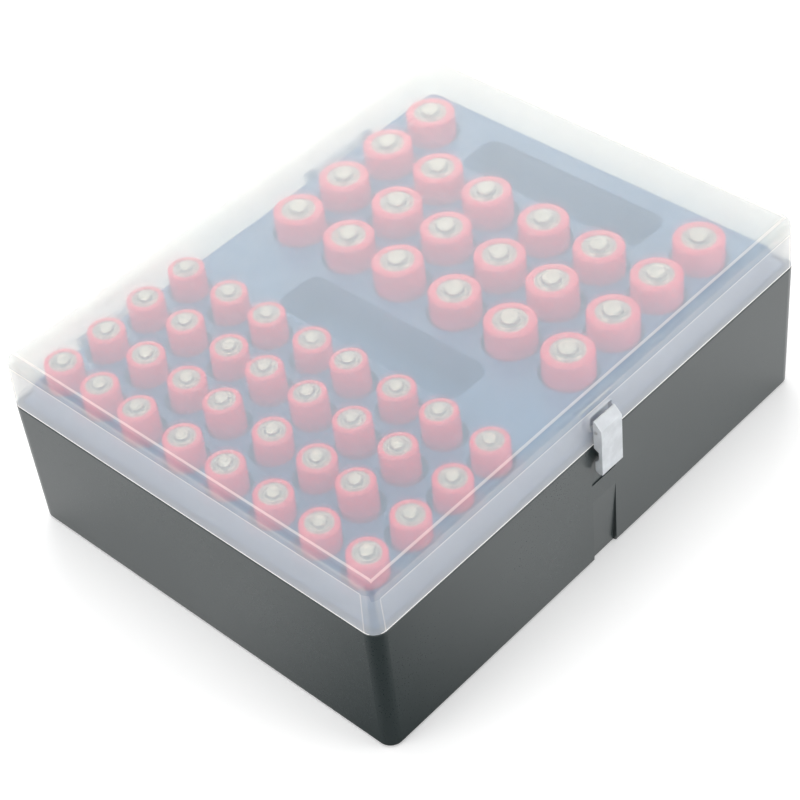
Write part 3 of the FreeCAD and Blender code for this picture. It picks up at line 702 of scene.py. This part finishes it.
@dataclass(frozen=True)
class CellKind:
    """The sizes of one kind of cell, in millimetres."""

    prefix: str
    radius: float
    length: float
    button: float
    button_rise: float
    face: float
    film: float = 0.15
    stand: float = 0.3
    ease: float = 0.5
    sides: int = 56

    @property
    def shoulder(self) -> float:
        """Height of the sleeve's top edge."""
        return self.length - self.button_rise

    def sleeve(self) -> bpy.types.Object:
        """The shrink sleeve: a thin tube whose top edge turns in over the can."""
        inner = self.radius - self.film
        top = self.shoulder
        ease = self.ease
        sag = ease * 0.3
        under = top - self.film
        profile = (
            (inner, self.stand),
            (self.radius, self.stand),
            (self.radius, self.stand + 1.0),
            (self.radius, top - ease),
            (self.radius - sag, top - sag),
            (self.radius - ease, top),
            (self.face + 0.25, top + 0.02),
            (self.face + 0.05, top - 0.02),
            (self.face, under + 0.01),
            (self.radius - ease, under),
            (inner, under - ease),
            (inner, self.stand),
        )
        piece = Bench.turned(self.prefix + "_sleeve_master", profile, self.sides)
        self.unroll(piece)
        Bench.soften(piece, 50.0)
        return piece

    def unroll(self, piece: bpy.types.Object) -> None:
        """Gives a sleeve a UV map: its turn from 0 to 1, and its height from 0 to 1."""
        layer = piece.data.uv_layers.new(name="wrap")
        for polygon in piece.data.polygons:
            middle = math.atan2(polygon.center.y, polygon.center.x)
            for loop in polygon.loop_indices:
                point = piece.data.vertices[piece.data.loops[loop].vertex_index].co
                angle = math.atan2(point.y, point.x)
                angle += 2 * math.pi * round((middle - angle) / (2 * math.pi))
                height = point.z * PER_METRE / self.length
                layer.data[loop].uv = (angle / (2 * math.pi) + 0.5, height)

    def can(self) -> bpy.types.Object:
        """The can with its contact face: a flat ring, a groove, a step and the button."""
        shell = self.radius - self.film
        crown = self.shoulder - self.film
        face = self.face
        button = self.button
        top = self.length
        gap = face - button
        profile = (
            (shell * 0.5, self.stand),
            (shell, self.stand),
            (shell, crown - self.ease),
            (shell - self.ease, crown),
            (face + 0.2, crown),
            (face - gap * 0.12, crown + 0.02),
            (face - gap * 0.26, crown - 0.16),
            (face - gap * 0.36, crown - 0.16),
            (face - gap * 0.5, crown + 0.24),
            (face - gap * 0.62, crown + 0.28),
            (face - gap * 0.72, crown + 0.05),
            (button + 0.22, crown + 0.04),
            (button + 0.04, crown + 0.2),
            (button, crown + 0.42),
            (button - 0.02, top - 0.32),
            (button - 0.12, top - 0.1),
            (button - 0.34, top),
            (button * 0.62, top),
            (button * 0.5, top - 0.05),
            (button * 0.3, top - 0.07),
            (0.0, top - 0.07),
        )
        piece = Bench.turned(self.prefix + "_can_master", profile, self.sides)
        Bench.soften(piece, 28.0)
        return piece


AA = CellKind("aa", 7.15, 50.5, 2.65, 1.1, 4.75)
AAA = CellKind("aaa", 5.15, 44.5, 1.9, 0.9, 3.65)


@dataclass
class CellBlock:
    """All cells of one kind, column by column."""

    kind: CellKind
    columns: int
    red: Colour
    deep_red: Colour
    clear_gap: float = 2.0

    def stances(self, node: str) -> list[Stance]:
        """Where the cells of one column stand, read from the frame.

        Args:
            node: the column's sleeve node.

        Returns:
            One stance per cell, from the latch side to the hinge side.
        """
        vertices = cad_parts[node].data.vertices
        points = sorted((vertex.co.copy() for vertex in vertices), key=lambda point: point.y)
        groups = [[points[0]]]
        for before, point in zip(points, points[1:]):
            if point.y - before.y > self.clear_gap * MM:
                groups.append([])
            groups[-1].append(point)
        return [Stance.through(group, self.kind.stand * MM) for group in groups]

    def build(self) -> list[bpy.types.Object]:
        """Builds sleeves and cans for every column, and dresses what the cells hide."""
        kind = self.kind
        sleeve = kind.sleeve()
        can = kind.can()
        film = ShrinkSleeve(
            name=kind.prefix + "_red_film",
            colour=self.red,
            deep=self.deep_red,
            mark=(0.85, 0.8, 0.8),
            around=2 * math.pi * kind.radius,
            length=kind.length,
            mark_drop=7.0,
            mark_size=2.6,
        )
        golden = math.pi * (3.0 - math.sqrt(5.0))
        made = []
        for column in range(1, self.columns + 1):
            stances = self.stances(f"{kind.prefix}_jackets_{column}")
            turns = [golden * (column * 11 + place) for place in range(len(stances))]
            places = [stance.matrix(turn) for stance, turn in zip(stances, turns)]
            for master, part, finish, slot in (
                (sleeve, "jackets", film, "jacket_red"),
                (can, "cans", NICKEL, "can_steel"),
            ):
                name = f"{kind.prefix}_{part}_column_{column}"
                piece = Bench.joined(name, Bench.copied(master, places))
                finish.put_on(piece)
                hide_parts(f"{kind.prefix}_{part}_{column}")
                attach(piece, "base")
                made.append(piece)
            hidden = {"cores": CORE_POWDER, "seals": SEAL_PLASTIC, "end_plates": NICKEL}
            for part, finish in hidden.items():
                finish.put_on(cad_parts[f"{kind.prefix}_{part}_{column}"])
        Bench.scrap(sleeve)
        Bench.scrap(can)
        return made


# ---- case, tray, lid and latch -----------------------------------------------------------


class Enclosure:
    """The moulded parts and pins that come from the frame as they are."""

    def dress(self) -> list[bpy.types.Object]:
        """Gives every moulded part and pin its finish."""
        finishes = {
            "base_case": CASE_PLASTIC,
            "cell_tray": TRAY_PLASTIC,
            "lid": LID_PLASTIC,
            "latch_tab": LATCH_PLASTIC,
            "latch_pin": WIRE,
            "hinge_pin_left": WIRE,
            "hinge_pin_right": WIRE,
        }
        for node, finish in finishes.items():
            finish.put_on(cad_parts[node])
        return [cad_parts[node] for node in finishes]


# ---- studio ------------------------------------------------------------------------------


@dataclass
class Softbox:
    """A square area lamp that looks at a point of the case."""

    name: str
    where: tuple[float, float, float]
    side: float
    watts: float

    def hang(self, target: Vector) -> None:
        """Hangs the lamp and aims it."""
        light = bpy.data.lights.new(self.name, "AREA")
        light.shape = "SQUARE"
        light.size = self.side
        light.energy = self.watts
        lamp = bpy.data.objects.new(self.name, light)
        lamp.location = self.where
        lamp.rotation_euler = (target - lamp.location).to_track_quat("-Z", "Y").to_euler()
        bpy.context.scene.collection.objects.link(lamp)


@dataclass
class Studio:
    """A white floor with painted reflections, soft lamps, a pale world and the camera."""

    floor_side: float = 6.0
    floor_drop: float = 0.0003
    floor_colour: Colour = (0.9, 0.9, 0.9)
    # Painted dark reflection: the floor turns this dark only to gloss, near the case's front-left
    # corner, to shade that corner of the base.
    dark_reflection_colour: Colour = (0.02, 0.02, 0.02)
    floor_lift: float = 0.25
    far_from: float = 500.0
    far_to: float = 1100.0
    # Painted reflection: extra floor brightness that only gloss sees, rising along X.
    gloss_lift: float = 0.45
    lift_edges: tuple[float, float] = (-140.0, -40.0)
    dark_reflection_corner: tuple[float, float] = (-95.0, -77.0)
    dark_reflection_fade: float = 85.0
    world_light: float = 0.55
    aim: tuple[float, float, float] = (-0.01188, -0.00637, 0.030)
    azimuth: float = -42.76
    elevation: float = 43.55
    roll: float = 7.04
    distance: float = 0.5752
    lens: float = 96.54

    def build(self) -> None:
        """Sets up the floor, the world, the lamps and the camera."""
        self.lay_floor()
        self.light_world()
        target = Vector(self.aim)
        for lamp in (
            Softbox("left_back_box", (-1.3, 0.5, 0.75), 0.9, 7.5),
            Softbox("right_back_box", (0.7, -1.25, 0.7), 0.9, 8.0),
            Softbox("top_box", (0.05, 0.25, 1.5), 1.0, 8.5),
            Softbox("far_back_box", (1.1, 1.15, 0.85), 1.2, 9.5),
        ):
            lamp.hang(target)
        self.set_camera(target)
        bpy.context.scene.view_settings.view_transform = "Standard"

    def lay_floor(self) -> None:
        """Lays the floor just under the case; it looks white and keeps the shadow, and to gloss it
        shows a painted dark patch near the case's front-left corner and painted extra brightness
        further along X.
        """
        Bench.pick()
        under = (0.0, 0.0, -self.floor_drop)
        bpy.ops.mesh.primitive_plane_add(size=self.floor_side, location=under)
        floor = bpy.context.active_object
        floor.name = "studio_floor"
        shader = Shader("studio_floor")
        path = shader.node("ShaderNodeLightPath")
        seen = Value(shader, path.outputs["Is Camera Ray"])
        seen = seen.most(Value(shader, path.outputs["Is Transmission Ray"]))
        gloss = Value(shader, path.outputs["Is Glossy Ray"])
        x, y, _ = shader.place()
        # Painted dark patch that only gloss sees, darkening the reflection in the base's front-left
        # corner.
        end, side = self.dark_reflection_corner
        dark_reflection = 1.0 - x.rise(end, end + self.dark_reflection_fade)
        dark_reflection = dark_reflection * (1.0 - y.rise(side, side + self.dark_reflection_fade))
        far = (x * x + y * y).rise(self.far_from**2, self.far_to**2)
        # Painted reflection: floor brightness that only gloss sees, rising along X.
        lift = x.rise(*self.lift_edges) * self.gloss_lift
        shown = seen * (self.floor_lift + far)
        floor.data.materials.append(
            shader.principled(
                {
                    "Base Color": shader.tint(gloss * dark_reflection, self.floor_colour, self.dark_reflection_colour),
                    "Roughness": 0.9,
                    "Specular IOR Level": 0.0,
                    "Emission Color": (1.0, 1.0, 1.0),
                    "Emission Strength": shown + gloss * (1.0 - dark_reflection) * lift,
                }
            )
        )

    def light_world(self) -> None:
        """Lights everything evenly, and shows white to the camera and to gloss."""
        world = bpy.data.worlds.new("studio_world")
        bpy.context.scene.world = world
        world.use_nodes = True
        nodes, links = world.node_tree.nodes, world.node_tree.links
        nodes.clear()
        path = nodes.new("ShaderNodeLightPath")
        glassy = nodes.new("ShaderNodeMath")
        glassy.operation = "MAXIMUM"
        links.new(path.outputs["Is Glossy Ray"], glassy.inputs[0])
        links.new(path.outputs["Is Transmission Ray"], glassy.inputs[1])
        seen = nodes.new("ShaderNodeMath")
        seen.operation = "MAXIMUM"
        links.new(path.outputs["Is Camera Ray"], seen.inputs[0])
        links.new(glassy.outputs[0], seen.inputs[1])
        strength = nodes.new("ShaderNodeMapRange")
        strength.inputs["To Min"].default_value = self.world_light
        strength.inputs["To Max"].default_value = 1.0
        links.new(seen.outputs[0], strength.inputs["Value"])
        background = nodes.new("ShaderNodeBackground")
        background.inputs["Color"].default_value = (1.0, 1.0, 1.0, 1.0)
        links.new(strength.outputs["Result"], background.inputs["Strength"])
        output = nodes.new("ShaderNodeOutputWorld")
        links.new(background.outputs[0], output.inputs["Surface"])

    def set_camera(self, target: Vector) -> None:
        """Places the camera by its azimuth, elevation, roll and distance."""
        turn, tilt = math.radians(self.azimuth), math.radians(self.elevation)
        level = math.cos(tilt)
        back = Vector((math.sin(turn) * level, -math.cos(turn) * level, math.sin(tilt)))
        data = bpy.data.cameras.new("studio_camera")
        data.lens = self.lens
        data.clip_start, data.clip_end = 0.01, 50.0
        camera = bpy.data.objects.new("studio_camera", data)
        camera.location = target + back * self.distance
        upright = (-back).to_track_quat("-Z", "Y").to_matrix().to_4x4()
        rolled = upright @ Matrix.Rotation(-math.radians(self.roll), 4, "Z")
        camera.matrix_world = Matrix.Translation(camera.location) @ rolled
        bpy.context.scene.collection.objects.link(camera)
        bpy.context.scene.camera = camera


def main() -> None:
    """Builds the pieces in order and reports each of them."""
    logging.basicConfig(level=logging.INFO, format="%(name)s: %(message)s")
    blocks = (
        CellBlock(AA, 4, RED, DEEP_RED),
        CellBlock(AAA, 4, RED, DEEP_RED),
    )
    pieces = Enclosure().dress()
    for block in blocks:
        pieces += block.build()
    for piece in pieces:
        LOG.info("%s: %d faces", piece.name, len(piece.data.polygons))
    Studio().build()


if __name__ == "__main__":
    main()
